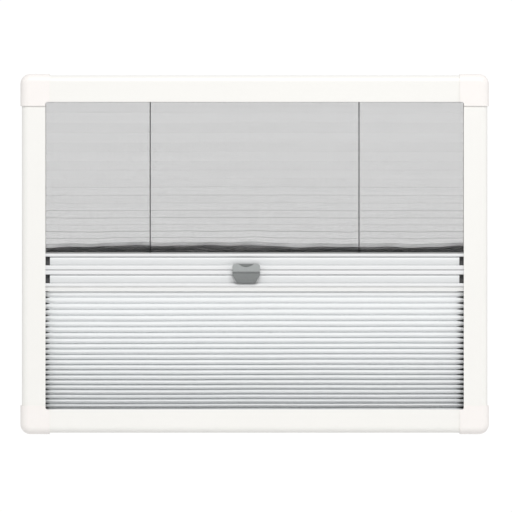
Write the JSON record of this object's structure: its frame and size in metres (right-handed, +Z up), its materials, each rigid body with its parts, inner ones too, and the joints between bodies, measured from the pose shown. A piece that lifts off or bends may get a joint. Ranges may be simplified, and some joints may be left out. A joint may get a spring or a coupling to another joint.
{
  "type": "pleated insect screen",
  "caption": "Window frame with a pleated insect screen above and a pleated blackout blind below, each on a sliding bar, joined by a latch handle.",
  "frame": {"origin": "middle of the frame's back, in the wall plane and at the centre of the four screw holes", "axes": "+X across the window to the right, +Y from the room towards the wall, +Z up"},
  "size_m": [0.65, 0.034, 0.5],
  "materials": {
    "white_paint": "satin powder coat",
    "white_plastic": "satin moulded plastic",
    "dark_plastic": "moulded plastic",
    "grey_plastic": "fine moulded grain",
    "screen_mesh": "open woven mesh, pleated",
    "blackout_cloth": "coated cloth, pleated",
    "cord": "braided cord",
    "spring_steel": "plain wire"
  },
  "bodies": {
    "frame": {"top_rail": "white_paint", "bottom_rail": "white_paint", "left_rail": "white_paint", "right_rail": "white_paint", "top_left_bracket": "dark_plastic", "top_right_bracket": "dark_plastic", "bottom_left_bracket": "dark_plastic", "bottom_right_bracket": "dark_plastic", "top_left_cap": "white_plastic", "top_right_cap": "white_plastic", "bottom_left_cap": "white_plastic", "bottom_right_cap": "white_plastic", "screen_head_strip": "dark_plastic", "blind_foot_strip": "white_plastic", "insect_screen": "screen_mesh", "blackout_blind": "blackout_cloth", "left_cord": "cord", "right_cord": "cord", "left_cord_anchor": "dark_plastic", "right_cord_anchor": "dark_plastic", "left_cord_spring": "spring_steel", "right_cord_spring": "spring_steel"},
    "screen_slider": {"screen_bar": "white_paint", "screen_bar_cover": "white_plastic", "screen_foot_strip": "dark_plastic", "left_screen_glide": "dark_plastic", "right_screen_glide": "dark_plastic", "left_cord_eyelet": "dark_plastic", "right_cord_eyelet": "dark_plastic"},
    "blind_slider": {"blind_bar": "white_paint", "left_blind_cover": "white_plastic", "right_blind_cover": "white_plastic", "blind_head_strip": "white_plastic", "left_blind_glide": "dark_plastic", "right_blind_glide": "dark_plastic", "latch_base": "grey_plastic", "latch_pin": "spring_steel", "latch_spring": "spring_steel"},
    "latch": {"latch_handle": "grey_plastic"}
  },
  "joints": [
    {"name": "blind_bar_slide", "type": "slide", "parent": "frame", "child": "blind_slider", "axis": [0, 0, 1], "range_m": [-0.15, 0.2], "deforming": ["blackout_blind"]},
    {"name": "screen_bar_slide", "type": "slide", "parent": "frame", "child": "screen_slider", "axis": [0, 0, 1], "range_m": [-0.15, 0.2], "deforming": ["insect_screen", "left_cord", "right_cord"]},
    {"name": "latch_hinge", "type": "hinge", "parent": "blind_slider", "child": "latch", "pos_m": [-0.0117, -0.0242, -0.0351], "axis": [1, 0, 0], "range_deg": [0, 12], "stiffness_Nm_per_rad": 0.05}
  ],
  "couplings": [
    {"joint": "screen_bar_slide", "follows": "blind_bar_slide", "ratio": 1}
  ]
}
